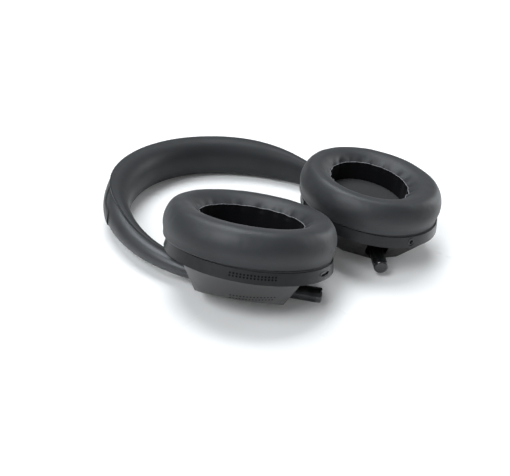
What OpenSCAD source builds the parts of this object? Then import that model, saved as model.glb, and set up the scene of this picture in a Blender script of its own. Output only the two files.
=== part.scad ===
// Over-ear wireless headphones lying folded flat, ear pads up, on a table.
// The head side of the band faces -Y at the crown. +X is the wearer's left ear cup,
// -X the right one. Z = 0 is the table. Each cup is drawn in a frame of its own:
// u (x) along the arm to its tip, v (y) away from the head and w (z) towards the ear,
// with its origin on the arm's centre line at the swivel.

/* [Band] */
// Radius of the arm's centre line over the head
crown_r = 75.6; // [73:0.2:79]
// Angle that the crown arc takes, from the middle to each side
crown_angle = 24; // [21:1:27]
// Radius of the arm's centre line beside the head
side_r = 85.4; // [83:0.2:88]
// Angle that the side arc takes, down to the straight rod
side_angle = 106.8; // [105:0.2:109]
// Thickness of the band's sheet steel
sheet_t = 0.9; // [0.7:0.1:1.1]
// Angle that the sheet bends through at the crown
flat_curl = 14; // [8:1:20]
// Angle that the sheet bends through where it has become a tube
closed_curl = 338; // [325:1:345]
// Arc length from the middle to where the sheet starts to curl
curl_start = 45; // [35:1:55]
// Arc length over which the curl closes
curl_length = 135; // [125:1:140]
// Height of the crown's centre line above the table
crown_z = 14.6; // [13.5:0.1:16]
// Slope of the lying band, down towards the tips
lie_tilt = 2.3; // [1.6:0.02:2.6]

/* [Arm rods] */
// Outer radius of the round rod that the ear cup slides on
rod_r = 4.2; // [4:0.1:4.4]
// Wall of the round rod
rod_wall = 0.8; // [0.6:0.1:1]
// Length of the straight rod with its cap
rod_len = 54.8; // [52:0.2:58]
// Length of the spigot that plugs the rod into the curled sheet
spigot_len = 4; // [3:0.5:5]
// Wall of the spigot
spigot_wall = 0.8; // [0.6:0.1:1]
// Length of the end cap
cap_len = 3.2; // [2.6:0.1:4]
// Rounding of the end cap
cap_round = 1.4; // [1:0.1:2]
// Length of the end cap's plug inside the rod
plug_len = 4; // [3:0.5:6]
// Radius of the cable that joins the two cups inside the band
cable_r = 1; // [0.8:0.1:1.2]

/* [Band padding] */
// Depth of the padded crown, from its outer lips to the head
pad_depth = 17.4; // [16:0.2:19]
// How far the padding stands over the sheet's edges
pad_over = 2.6; // [2:0.1:3]
// How far the padding's lips stay behind the arm's outer line
lip_drop = 0.6; // [0.4:0.1:1]
// Arc length at which the padding ends
pad_end = 173; // [170:1:176]
// Depth of the pocket for the carrier
pocket_n = 2.6; // [2.4:0.1:3]
// Width of the outer cover over the crown
cover_w = 21; // [19:0.5:21.4]
// Thickness of the outer cover
cover_t = 0.6; // [0.4:0.1:1]
// Arc length at which the outer cover's rounded tongue ends
cover_end = 104; // [98:1:110]
// Width of the cover's tongue
tongue_w = 9; // [7:0.5:11]
// Arc length at which the arm's dark liner begins
liner_start = 106; // [104:1:112]
// Width of the stiff carrier between the sheet and the padding
carrier_w = 15; // [13:0.5:15.4]
// Thickness of the carrier
carrier_t = 4.2; // [3.8:0.1:4.4]
// Arc length at which the carrier ends
carrier_end = 60; // [50:1:62]

/* [Ear cup] */
// Half length of the cup's rim at its lower edge
rim_a = 45.9; // [45:0.1:46.6]
// Width of the cup over its length
cup_ratio = 0.93; // [0.91:0.005:0.95]
// Distance of the cup's middle from the swivel along the arm, towards the band
cup_u = 6.4; // [6:0.1:7]
// Distance of the cup's middle from the arm, towards the head
cup_v = 4.8; // [4.4:0.1:5.4]
// Height of the rim's lower edge over the arm's centre line
rim_w0 = 14.5; // [14.2:0.1:15]
// Height of the rim
rim_h = 6.1; // [5.8:0.1:6.6]
// How much the rim narrows towards the pad
rim_flare = 1.3; // [0.8:0.1:1.8]
// Wall of the rim and the outer shell
shell_wall = 1.6; // [1.4:0.1:1.8]
// Narrowing of the shell for each millimetre away from the rim
shell_taper = 0.9; // [0.86:0.01:0.94]
// Lean of the shell along the arm, for each millimetre of height
lean_u = 0.064; // [0.03:0.002:0.09]
// Lean of the shell away from the head, for each millimetre of height
lean_v = 0.08; // [0.04:0.002:0.11]
// Distance of the shell's main outer face from the arm's centre line
face_drop = 7.8; // [7.7:0.05:8.1]
// Slope of the main outer face against the pad
face_slope = 11.6; // [10:0.2:13]
// Distance of the shell's front facet from the arm's centre line
front_drop = 7.4; // [7.35:0.05:7.6]
// Slope of the front facet
front_slope = 18; // [16:0.5:20]
// Rise of the outer faces towards the arm's tip
face_lean = 1.1; // [0.6:0.1:1.6]
// Wall of the shell's outer face
face_wall = 0.9; // [0.8:0.05:1]
// Thickness of the rim's floor where it stands out over the shell's ends
rim_floor = 0.8; // [0.6:0.05:0.8]
// Distance of the shell's tip end from the swivel, at the rim
front_u = 22.8; // [21.5:0.1:24]
// Lean of the shell's tip end, for each millimetre of height
front_lean = 0.356; // [0.3:0.01:0.4]
// Distance of the shell's band end from the swivel, at the rim
back_u = 34.9; // [34:0.1:37]
// Lean of the shell's band end, for each millimetre of height
back_lean = 0.27; // [0.2:0.01:0.32]
// Gap between the arm and the sides of the slot at the tip end
exit_gap = 2.3; // [1.6:0.1:2.4]
// Gap between the arm and the sides of the slot at the band end
entry_gap = 2.2; // [2:0.1:2.6]
// Widening of the band end's slot for each millimetre of length
entry_flare = 0.42; // [0.4:0.01:0.46]

/* [Ear pad] */
// Height of the black seam between rim and pad
seam_h = 0.6; // [0.4:0.1:0.9]
// Half length of the pad where it meets the rim
pad_a = 45.6; // [45:0.1:46]
// Shift of the pad from the cup's middle, towards the band
pad_u = 1.6; // [1:0.1:2]
// Shift of the pad from the cup's middle, towards the head
pad_v = 1.6; // [1:0.1:2]
// Height of the pad
pad_h = 18.2; // [17:0.2:19]
// How far the pad's wall bulges
pad_bulge = 1; // [0.6:0.1:1.3]
// Half length of the ear opening
hole_a = 28.2; // [27:0.1:29]
// Half width of the ear opening
hole_b = 23.6; // [23:0.1:24.5]
// Shift of the ear opening towards the head
hole_shift = 1.8; // [1:0.1:2.4]
// Drop of the pad's roll from its crest to the ear opening
roll_drop = 5.8; // [4.5:0.1:7]
// Depth of the gathers around the ear opening
gather_d = 0.5; // [0.3:0.05:0.7]
// Number of gathers around the ear opening
gathers = 19; // [16:1:22]

/* [Joints] */
// Turn of the right cup about its arm at rest
right_swivel = 13.1; // [12:0.1:14]
// Turn of the left cup about its arm at rest
left_swivel = -2.3; // [-3:0.1:-1.6]
// Tilt of the right cup at rest
right_tilt = 0.7; // [0:0.1:1]
// Tilt of the left cup at rest
left_tilt = -1.5; // [-1.8:0.1:-1]
// Distance from the curled sheet's end to the swivel
swivel_from = 18.8; // [18:0.1:19.6]
// Furthest tilt of a cup towards its tip end
tilt_most = 5; // [4:0.5:6]
// Radial clearance of a running fit
run_gap = 0.05; // [0.03:0.01:0.08]
// Length of the slider's sleeve
sleeve_len = 15; // [14.4:0.2:16]
// Wall of the slider's sleeve
sleeve_wall = 1.05; // [0.9:0.05:1.1]
// Height of the flanges that keep the collar on the sleeve
flange_h = 0.6; // [0.5:0.05:0.7]
// Length of the swivel collar
collar_len = 10; // [9:0.5:11]
// Wall of the swivel collar
collar_wall = 2; // [1.6:0.1:2.1]
// Opening angle of the collar
collar_open = 140; // [120:5:150]
// Radius of the tilt pins
tilt_pin_r = 1.6; // [1.3:0.1:1.7]
// Thickness of the bracket's ears
ear_t = 3; // [2.6:0.1:3.4]
// Width of the bracket's ears
ear_w = 8; // [7:0.5:9]
// Gap between the collar and the bracket's ears
ear_gap = 0.6; // [0.4:0.1:0.8]
// Thickness of the bracket's plate
plate_t = 1.5; // [1.2:0.1:1.8]
// Radius of the bracket's plate
plate_r = 27; // [26.5:0.5:29]
// Height of the plate over the arm's centre line
plate_w0 = 8.1; // [8:0.05:8.3]

/* [Inside the cup] */
// Distance of the bracket's posts from the cup's middle
post_at = 23.5; // [23.2:0.1:24]
// Radius of a post
post_r = 2; // [1.8:0.1:2.2]
// Radius of a screw's shank
screw_r = 0.9; // [0.8:0.05:1]
// Radius of a screw's head
screw_head_r = 1.8; // [1.6:0.1:2]
// Height of a screw's head
screw_head_h = 1.2; // [1:0.1:1.3]
// Length of a screw under its head
screw_len = 7; // [5:0.5:8]
// Radius of the loudspeaker's frame
driver_r = 20; // [18:0.5:20.5]
// Height of the loudspeaker's frame
driver_h = 3.4; // [3.2:0.1:3.8]
// Wall of the loudspeaker's frame
driver_wall = 1; // [0.8:0.1:1.2]
// Height of the diaphragm's dome
dome_h = 1.2; // [0.9:0.1:1.5]
// Thickness of the diaphragm
dome_t = 0.3; // [0.2:0.05:0.4]
// Radius of the loudspeaker's magnet
magnet_r = 9; // [8:0.5:10]
// Height of the loudspeaker's magnet
magnet_h = 4; // [3.6:0.1:4.2]
// Thickness of the baffle plate
baffle_t = 1.3; // [1.1:0.1:1.5]
// Thickness of the circuit board
board_t = 1.2; // [1:0.1:1.4]
// Outer radius of the circuit board
board_r = 34; // [32:0.5:35]
// Radius of the hole in the circuit board
board_hole = 11; // [10.6:0.2:12]
// Gap between the bracket's plate and the board
board_gap = 2.2; // [2:0.1:2.4]
// Length of the battery
battery_l = 26; // [22:1:26]
// Width of the battery
battery_w = 16; // [14:0.5:17]
// Thickness of the battery
battery_t = 5.6; // [4.6:0.1:6]
// Radius of a microphone capsule
mic_r = 2; // [1.6:0.1:2.2]
// Height of a microphone capsule
mic_h = 1.2; // [1:0.1:1.6]
// Direction of the microphone from the arm's line
mic_angle = 80; // [76:1:84]
// Side of the touch sensor's square
foil_side = 10; // [8:0.5:11]
// Thickness of the touch sensor
foil_t = 0.3; // [0.2:0.05:0.4]

/* [Ports and buttons] */
// Direction of the port from the arm's line
port_angle = 25.3; // [24:0.1:27]
// Width of the charging port's mouth
usb_w = 8.9; // [8.7:0.1:9.1]
// Height of the charging port's mouth
usb_h = 2.6; // [2.5:0.05:2.8]
// Wall of the charging port
usb_wall = 0.35; // [0.3:0.05:0.4]
// Length of the charging port
usb_len = 7.4; // [7:0.1:8]
// Radius of the audio socket's bore
jack_r = 1.27; // [1.25:0.01:1.3]
// Depth of the audio socket's bore
jack_depth = 10.5; // [10:0.1:11]
// Wall of the audio socket
jack_wall = 0.9; // [0.8:0.05:1]
// Length of a button
button_l = 11; // [9:0.5:12]
// Height of a button
button_h = 3; // [2.6:0.1:3.2]
// How far a pressed button still stands out of the rim
button_left = 0.2; // [0.15:0.05:0.3]
// Travel of a button
button_travel = 0.5; // [0.4:0.05:0.6]
// Clearance around a button
button_gap = 0.15; // [0.1:0.01:0.25]
// Width of the flange behind a button
button_lip = 0.5; // [0.4:0.05:0.7]
// Direction of the power button from the arm's line
power_angle = -72; // [-76:1:-70]
// Direction of the assistant button from the arm's line
assistant_angle = -98; // [-104:1:-94]
// Direction of the mode button from the arm's line
mode_angle = -85; // [-95:1:-75]
// Radius of the status light
light_r = 0.7; // [0.5:0.05:0.8]
// Direction of the status light from the arm's line
light_angle = -58; // [-60:1:-55]

/* [Hidden] */

$fn = 64;
ring_fn = 160;
right = -1;
left = 1;
tiny = 0.01;
seat = 0.05;
reach = 90;
degree = 180 / PI;

// The arm's centre line, by arc length from the middle of the crown.
crown_len = crown_r * crown_angle / degree;
sheet_end = crown_len + side_r * side_angle / degree;
turn_end = crown_angle + side_angle;
side_centre = [(crown_r - side_r) * sin(crown_angle), (crown_r - side_r) * cos(crown_angle) - crown_r];
function turn_at(s) =
  s <= crown_len ? s / crown_r * degree : crown_angle + (min(s, sheet_end) - crown_len) / side_r * degree;
function line_at(s) =
  let (a = turn_at(s), past = max(0, s - sheet_end))
    s <= crown_len ? [crown_r * sin(a), crown_r * cos(a) - crown_r]
    : side_centre + side_r * [sin(a), cos(a)] + past * [cos(a), -sin(a)];
// A point n outward and z up from the centre line; a negative s is on the right-hand side.
function band_point(s, n, z) =
  let (a = turn_at(abs(s)), p = line_at(abs(s)))
    [(s < 0 ? -1 : 1) * (p[0] + n * sin(a)), p[1] + n * cos(a), z];
function clip(x) = max(0, min(1, x));
function ease(x) = let (c = clip(x)) c * c * (3 - 2 * c);

// The straight rod starts where the sheet ends.
swivel_u0 = -swivel_from;
rod_tip = rod_len - swivel_from;
swivel_at = line_at(sheet_end - swivel_u0);
band_x = -2.24;
band_y = 93.344;

module lying() {
  translate([band_x, band_y, crown_z])
    rotate([lie_tilt, 0, 0])
      children();
}

module on_side(side) {
  if (side < 0) mirror([1, 0, 0]) children();
  else children();
}

// The frame on the arm's line at the swivel, without the cup's own turn and tilt.
module at_swivel(side) {
  lying()
    on_side(side)
      translate([swivel_at[0], swivel_at[1], 0])
        rotate([0, 0, -turn_end])
          children();
}

module turned(side) {
  at_swivel(side)
    rotate([side < 0 ? right_swivel : left_swivel, 0, 0])
      children();
}

module in_cup(side) {
  turned(side)
    rotate([0, side < 0 ? right_tilt : left_tilt, 0])
      children();
}

module cup_oval() {
  translate([-cup_u, -cup_v, 0])
    scale([1, cup_ratio, 1])
      children();
}

module along_u(from) {
  translate([from, 0, 0])
    rotate([0, 90, 0])
      children();
}

// A solid through rings of points. Each ring lists its outer rail and then its inner rail,
// the same number of points on both, from one edge of the section to the other.
module rails(rings) {
  k = len(rings[0]);
  half = k / 2;
  n = len(rings);
  walls = [for (i = [0:n - 2], j = [0:k - 1], f = [0, 1])
    let (a = i * k + j, b = i * k + (j + 1) % k, c = a + k, d = b + k)
      f == 0 ? [a, b, d] : [a, d, c]];
  cap = [for (j = [0:half - 2], f = [0, 1])
    let (a = j, b = j + 1, c = k - 2 - j, d = k - 1 - j)
      f == 0 ? [a, c, b] : [a, d, c]];
  last = (n - 1) * k;
  polyhedron(
    points = [for (r = rings) each r],
    faces = concat(walls, cap, [for (f = cap) [f[2] + last, f[1] + last, f[0] + last]]));
}

// ---- Band ----

// The sheet's section is an arc whose outer face always lies on the rod's outer side.
sheet_mid = rod_r - sheet_t / 2;
sheet_width = sheet_mid * closed_curl / degree;
sheet_steps = 8;
sheet_stations = 28;
function curl_at(s) = flat_curl + (closed_curl - flat_curl) * clip((abs(s) - curl_start) / curl_length);
function curl_r(s) = sheet_width / curl_at(s) * degree;
function sheet_point(s, b, off) =
  let (r = curl_r(s))
    band_point(s, sheet_mid - r + (r + off) * cos(b), (r + off) * sin(b));
// The sheet's edge: how far out it lies, and its height and greatest height.
function edge_n(s) = sheet_mid - curl_r(s) + curl_r(s) * cos(curl_at(s) / 2);
function edge_z(s) = curl_r(s) * sin(curl_at(s) / 2);
function top_z(s) = curl_r(s) * sin(min(90, curl_at(s) / 2)) + sheet_t / 2;

module steel_band() {
  color([0.24, 0.24, 0.25])
    lying()
      rails([for (i = [-sheet_stations:sheet_stations])
        let (s = sheet_end * i / sheet_stations, c = curl_at(s) / 2)
          concat(
            [for (j = [-sheet_steps:sheet_steps]) sheet_point(s, c * j / sheet_steps, sheet_t / 2)],
            [for (j = [sheet_steps:-1:-sheet_steps]) sheet_point(s, c * j / sheet_steps, -sheet_t / 2)])]);
}

// The padded crown has a pocket for the sheet and the carrier in its outer side, and thins
// to a flat tail that closes the inner side of each arm.
pad_steps = 10;
pad_stations = 26;
pad_side = 60;
pad_skin = 0.45;
pad_room = 0.35;
tail_t = 2.4;
tail_gap = 0.8;
tail_inset = 1.4;
tail_rise = 0.5;
sink_from = 70;
sink_over = 35;
thin_from = 55;
narrow_from = 85;
outer_share = 0.31;
outer_round = 0.4;
inner_round = 0.87;
function floor_n(s) = min(-pocket_n, edge_n(s) - tail_gap);
function pad_out_n(s) =
  let (g = ease((abs(s) - sink_from) / sink_over))
    (rod_r - lip_drop) * (1 - g) + (floor_n(s) + tail_rise) * g;
function pad_in_n(s) =
  let (h = ease((abs(s) - thin_from) / (pad_end - thin_from)))
    (rod_r - lip_drop - pad_depth) * (1 - h) + (floor_n(s) + tail_rise - tail_t) * h;
function pad_half(s) =
  let (f = ease((abs(s) - narrow_from) / (pad_end - narrow_from)))
    top_z(s) + pad_over - (pad_over + tail_inset) * f;
function pad_at(s, b) =
  let (out = pad_out_n(s), deep = out - pad_in_n(s), outer = cos(b) > 0,
    m = outer ? outer_round : inner_round, mid = out - outer_share * deep,
    a = (outer ? outer_share : 1 - outer_share) * deep)
    [mid + a * sign(cos(b)) * pow(abs(cos(b)), m), pad_half(s) * sign(sin(b)) * pow(abs(sin(b)), m)];
function pocket_at(s, j) =
  let (lip = pad_at(s, pad_side), z = min(lip[1] - pad_skin, top_z(s) + pad_room), f = floor_n(s))
    j == 0 ? [lip[0] - tiny, z]
    : j == pad_steps ? [lip[0] - tiny, -z]
    : [f, z * (pad_steps / 2 - j) / (pad_steps / 2 - 1)];

module crown_cushion() {
  color([0.13, 0.13, 0.14])
    lying()
      rails([for (i = [-pad_stations:pad_stations])
        let (s = pad_end * i / pad_stations)
          concat(
            [for (j = [pad_steps:-1:0])
              let (q = pad_at(s, pad_side + (360 - 2 * pad_side) * j / pad_steps)) band_point(s, q[0], q[1])],
            [for (j = [0:pad_steps])
              let (q = pocket_at(s, j)) band_point(s, q[0], q[1])])]);
}

// The outer cover lies on the sheet and ends in a rounded tongue on each side.
cover_steps = 3;
cover_lift = 0.12;
cover_stations = 24;
tongue_start = 72;
tongue_blend = 18;
tongue_least = 0.15;
function cover_s(i) = cover_end * sin(90 * i / cover_stations);
function cover_half(s) =
  let (e = ease((s - tongue_start) / tongue_blend), w = (cover_w * (1 - e) + tongue_w * e) / 2,
    left_over = clip((cover_end - s) / (tongue_w / 2)))
    max(tongue_least, w * sqrt(left_over * (2 - left_over)));

module crown_cover() {
  color([0.09, 0.09, 0.1])
    lying()
      rails([for (i = [-cover_stations:cover_stations])
        let (s = sign(i) * cover_s(abs(i)), c = asin(min(1, cover_half(abs(s)) / curl_r(s))))
          concat(
            [for (j = [-cover_steps:cover_steps])
              sheet_point(s, c * j / cover_steps, sheet_t / 2 + cover_lift + cover_t)],
            [for (j = [cover_steps:-1:-cover_steps])
              sheet_point(s, c * j / cover_steps, sheet_t / 2 + cover_lift)])]);
}

// A dark liner closes the inside of each arm between the sheet's edges.
liner_stations = 20;
liner_gap = 0.35;
liner_rise = 1.2;
liner_lift = 0.12;
liner_short = 3;

module arm_liner(side) {
  color([0.06, 0.06, 0.065])
    lying()
      on_side(side)
        rails([for (i = [0:liner_stations])
          let (s = liner_start + (pad_end - liner_short - liner_start) * i / liner_stations,
            z = edge_z(s) - sheet_t / 2 - liner_gap, hi = edge_n(s) + liner_rise,
            lo = floor_n(s) + liner_lift)
            [band_point(s, hi, -z), band_point(s, hi, z), band_point(s, lo, z), band_point(s, lo, -z)]]);
}

// The stiff carrier has a groove for the cable in its outer side.
carrier_n = 2;
carrier_stations = 10;
groove_r = cable_r + seat;
groove_flare = 0.5;

module crown_carrier() {
  z = carrier_w / 2;
  wide = groove_r + groove_flare;
  under = carrier_n - carrier_t;
  color([0.1, 0.1, 0.1])
    lying()
      rails([for (i = [-carrier_stations:carrier_stations])
        let (s = carrier_end * i / carrier_stations)
          [for (q = [[carrier_n, -z], [carrier_n, -wide], [-groove_r, -groove_r], [-groove_r, groove_r],
            [carrier_n, wide], [carrier_n, z], [under, z], [under, wide], [under, groove_r],
            [under, -groove_r], [under, -wide], [under, -z]])
            band_point(s, q[0], q[1])]]);
}

// The cable runs inside the band from one swivel to the other.
cable_stations = 44;
cable_sides = 8;

module band_cable() {
  length = sheet_end - swivel_u0;
  color([0.05, 0.05, 0.05])
    lying()
      rails([for (i = [-cable_stations:cable_stations])
        [for (j = [0:cable_sides - 1])
          let (a = 360 * (j + 0.5) / cable_sides - 90)
            band_point(length * i / cable_stations, cable_r * cos(a), cable_r * sin(a))]]);
}

spigot_gap = 0.25;
module rod(side) {
  body_len = rod_len - cap_len;
  spigot_r = rod_r - sheet_t - spigot_gap;
  color([0.55, 0.55, 0.56])
    at_swivel(side)
      along_u(swivel_u0)
        difference() {
          union() {
            cylinder(r = rod_r, h = body_len);
            translate([0, 0, -spigot_len]) cylinder(r = spigot_r, h = spigot_len + tiny);
          }
          translate([0, 0, spigot_len]) cylinder(r = rod_r - rod_wall, h = body_len);
          translate([0, 0, -spigot_len - 1]) cylinder(r = spigot_r - spigot_wall, h = 2 * spigot_len + 2);
        }
}

module rod_cap(side) {
  color([0.03, 0.03, 0.03])
    at_swivel(side)
      along_u(rod_tip - cap_len)
        union() {
          rotate_extrude() {
            square([rod_r, cap_len - cap_round]);
            square([rod_r - cap_round, cap_len]);
            translate([rod_r - cap_round, cap_len - cap_round])
              intersection() {
                circle(r = cap_round);
                square(cap_round);
              }
          }
          translate([0, 0, -plug_len]) cylinder(r = rod_r - rod_wall - seat, h = plug_len + tiny);
        }
}

// ---- Slider, swivel and tilt ----

sleeve_in = rod_r + run_gap;
sleeve_r = sleeve_in + sleeve_wall;
collar_in = sleeve_r + run_gap;
collar_r = collar_in + collar_wall;

module slider_sleeve(side) {
  flange_len = (sleeve_len - collar_len) / 2 - 2 * run_gap;
  color([0.1, 0.1, 0.1])
    at_swivel(side)
      difference() {
        union() {
          along_u(-sleeve_len / 2) cylinder(r = sleeve_r, h = sleeve_len);
          along_u(-sleeve_len / 2) cylinder(r = sleeve_r + flange_h, h = flange_len);
          along_u(sleeve_len / 2 - flange_len) cylinder(r = sleeve_r + flange_h, h = flange_len);
        }
        along_u(-sleeve_len) cylinder(r = sleeve_in, h = 2 * sleeve_len);
      }
}

pin_end = collar_r + ear_gap + ear_t;
module swivel_collar(side) {
  half_open = collar_open / 2;
  color([0.5, 0.5, 0.52])
    turned(side)
      difference() {
        union() {
          along_u(-collar_len / 2) cylinder(r = collar_r, h = collar_len);
          translate([0, -pin_end, 0]) rotate([-90, 0, 0]) cylinder(r = tilt_pin_r, h = 2 * pin_end);
        }
        along_u(-collar_len) cylinder(r = collar_in, h = 2 * collar_len);
        rotate([-90, 0, -90])
          translate([0, 0, -collar_len])
            linear_extrude(2 * collar_len)
              polygon([[0, 0], [reach * sin(half_open), reach * cos(half_open)], [0, reach],
                [-reach * sin(half_open), reach * cos(half_open)]]);
      }
}

post_ways = [45, 135, 225, 315];
module at_posts() {
  for (a = post_ways)
    translate([post_at * cos(a) - cup_u, post_at * sin(a) - cup_v, 0])
      children();
}

baffle_w0 = rim_w0 + rim_h - baffle_t;
ear_under = 0.9;
end_room = 0.8;
screw_room = 0.5;
module tilt_bracket(side) {
  ear_in = collar_r + ear_gap;
  ear_low = tilt_pin_r + ear_under;
  color([0.16, 0.16, 0.17])
    in_cup(side)
      difference() {
        union() {
          intersection() {
            translate([-cup_u, -cup_v, plate_w0]) cylinder(r = plate_r, h = plate_t);
            between_ends(shell_wall + end_room);
          }
          at_posts() translate([0, 0, plate_w0]) cylinder(r = post_r, h = baffle_w0 - plate_w0);
          for (m = [0, 1])
            mirror([0, m, 0])
              translate([-ear_w / 2, ear_in, -ear_low]) cube([ear_w, ear_t, plate_w0 + ear_low + tiny]);
        }
        translate([0, -reach, 0]) rotate([-90, 0, 0]) cylinder(r = tilt_pin_r + run_gap, h = 2 * reach);
        at_posts() translate([0, 0, plate_w0 - 1])
          cylinder(r = screw_r + seat, h = screw_len + 1 + screw_room);
      }
}

module screws(side) {
  color([0.4, 0.4, 0.42])
    in_cup(side)
      at_posts() {
        translate([0, 0, plate_w0 - screw_head_h]) cylinder(r = screw_head_r, h = screw_head_h);
        translate([0, 0, plate_w0 - tiny]) cylinder(r = screw_r, h = screw_len + tiny);
      }
}

// ---- Ear cup ----

module above_main(drop) {
  rotate([0, -face_lean, 0])
    rotate([-face_slope, 0, 0])
      translate([-reach, -reach, -drop])
        cube([2 * reach, 2 * reach, reach]);
}

module above_front(drop) {
  rotate([0, -face_lean, 0])
    rotate([front_slope, 0, 0])
      translate([-reach, -reach, -drop])
        cube([2 * reach, 2 * reach, reach]);
}

// The space between the shell's two slanted ends, each moved in by the given amount.
module between_ends(inset) {
  high = rim_h;
  low = rim_w0 + face_drop + shell_under;
  rotate([90, 0, 0])
    translate([0, 0, -reach])
      linear_extrude(2 * reach)
        polygon([
          [front_u + front_lean * high - inset, rim_w0 + high],
          [-back_u - back_lean * high + inset, rim_w0 + high],
          [-back_u + back_lean * low + inset, rim_w0 - low],
          [front_u - front_lean * low - inset, rim_w0 - low]]);
}

// The tapered shell as a solid, its wall and faces moved in by the given amounts.
shell_under = 4;
module shell_form(wall_in, face_in, over) {
  deep = face_drop + shell_under;
  intersection() {
    multmatrix([[1, 0, lean_u, -lean_u * rim_w0], [0, 1, -lean_v, lean_v * rim_w0], [0, 0, 1, 0]])
      cup_oval()
        translate([0, 0, -deep])
          cylinder(
            r1 = rim_a - wall_in - shell_taper * (rim_w0 + deep),
            r2 = rim_a - wall_in + shell_taper * over,
            h = rim_w0 + deep + over, $fn = ring_fn);
    above_main(face_drop - face_in);
    above_front(front_drop - face_in);
    between_ends(wall_in);
  }
}

exit_from = 14;
module exit_slot() {
  r = rod_r + exit_gap;
  along_u(exit_from) cylinder(r = r, h = reach);
  translate([exit_from, -r, 0]) cube([reach, 2 * r, reach]);
}

entry_from = 22;
module entry_slot() {
  r = rod_r + entry_gap;
  wide = r + entry_flare * reach;
  rotate([0, -tilt_most, 0]) {
    along_u(-entry_from - reach) cylinder(r = r, h = reach);
    translate([-entry_from - reach, -r, 0]) cube([reach, 2 * r, reach]);
  }
  translate([0, 0, -r])
    linear_extrude(rim_w0 + r)
      polygon([[-entry_from, 0], [-entry_from, -r], [-entry_from - reach, -wide], [-entry_from - reach, 0]]);
}

module outer_shell(side) {
  color([0.27, 0.26, 0.26])
    in_cup(side)
      difference() {
        shell_form(0, 0, 0);
        shell_form(shell_wall, face_wall, tiny);
        exit_slot();
        entry_slot();
      }
}

// A frame on the rim's outer face: x straight out, z towards the ear.
rim_mid = rim_w0 + rim_h / 2;
module on_rim(angle) {
  half_flare = rim_flare / 2;
  translate([(rim_a - half_flare) * cos(angle) - cup_u,
    (rim_a - half_flare) * cup_ratio * sin(angle) - cup_v, rim_mid])
    rotate([0, 0, atan2(sin(angle), cup_ratio * cos(angle))])
      children();
}

module slot_shape(l, h) {
  square([l - h, h], center = true);
  translate([(h - l) / 2, 0]) circle(d = h);
  translate([(l - h) / 2, 0]) circle(d = h);
}

// A rounded bar along x, its length across the rim and its height up the rim.
module slot_bar(from, to, l, h) {
  translate([from, 0, 0])
    rotate([90, 0, 90])
      linear_extrude(to - from)
        slot_shape(l, h);
}

module rim(side) {
  hole_in = -4 * shell_wall;
  hole_out = 2 * shell_wall;
  button_room = 2 * button_gap;
  color([0.1, 0.1, 0.105])
    in_cup(side)
      difference() {
        union() {
          cup_oval()
            rotate_extrude($fn = ring_fn)
              polygon([[rim_a - shell_wall, rim_w0], [rim_a, rim_w0], [rim_a - rim_flare, rim_w0 + rim_h],
                [rim_a - rim_flare - shell_wall, rim_w0 + rim_h]]);
          difference() {
            cup_oval()
              translate([0, 0, rim_w0])
                cylinder(r = rim_a - shell_wall / 2, h = rim_floor, $fn = ring_fn);
            between_ends(shell_wall);
          }
        }
        if (side < 0) {
          on_rim(port_angle) slot_bar(hole_in, hole_out, usb_w + 2 * seat, usb_h + 2 * seat);
          on_rim(power_angle) slot_bar(hole_in, hole_out, button_l + button_room, button_h + button_room);
          on_rim(assistant_angle) slot_bar(hole_in, hole_out, button_l + button_room, button_h + button_room);
          on_rim(light_angle)
            translate([hole_in, 0, 0])
              rotate([0, 90, 0])
                cylinder(r = light_r + seat, h = hole_out - hole_in);
        } else {
          on_rim(port_angle)
            translate([hole_in, 0, 0])
              rotate([0, 90, 0])
                cylinder(r = jack_r + jack_wall + seat, h = hole_out - hole_in);
          on_rim(mode_angle) slot_bar(hole_in, hole_out, button_l + button_room, button_h + button_room);
        }
      }
}

button_in = 1.9;
lip_t = 0.7;
module button(side, angle) {
  inner = -shell_wall - button_in;
  color([0.08, 0.08, 0.085])
    in_cup(side)
      on_rim(angle)
        union() {
          slot_bar(inner, button_travel + button_left, button_l, button_h);
          slot_bar(inner, inner + lip_t, button_l + 2 * button_lip, button_h + 2 * button_lip);
        }
}

light_back = 1;
light_sunk = 0.1;
module status_light() {
  color([0.8, 0.8, 0.78])
    in_cup(right)
      on_rim(light_angle)
        translate([-shell_wall - light_back, 0, 0])
          rotate([0, 90, 0])
            cylinder(r = light_r, h = shell_wall + light_back - light_sunk);
}

port_room = 0.6;
module usb_receptacle() {
  color([0.45, 0.45, 0.46])
    in_cup(right)
      on_rim(port_angle)
        difference() {
          slot_bar(-usb_len, 0, usb_w, usb_h);
          slot_bar(-usb_len + usb_wall, 1, usb_w - 2 * usb_wall, usb_h - 2 * usb_wall);
        }
}

module usb_tongue() {
  tongue_half = 3;
  color([0.05, 0.05, 0.05])
    in_cup(right)
      on_rim(port_angle)
        translate([-usb_len + usb_wall, -tongue_half, -usb_wall])
          cube([usb_len - 3 * usb_wall, 2 * tongue_half, 2 * usb_wall]);
}

module jack_socket() {
  color([0.05, 0.05, 0.05])
    in_cup(left)
      on_rim(port_angle)
        rotate([0, -90, 0])
          difference() {
            cylinder(r = jack_r + jack_wall, h = jack_depth + jack_wall);
            translate([0, 0, -1]) cylinder(r = jack_r, h = jack_depth + 1);
          }
}

// Room in the baffle over a button's lip, through its whole travel.
pocket_gap = 0.2;
module button_pocket() {
  room = 2 * (button_lip + pocket_gap);
  slot_bar(-shell_wall - button_in - button_travel - pocket_gap, 0, button_l + room, button_h + room);
}

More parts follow.
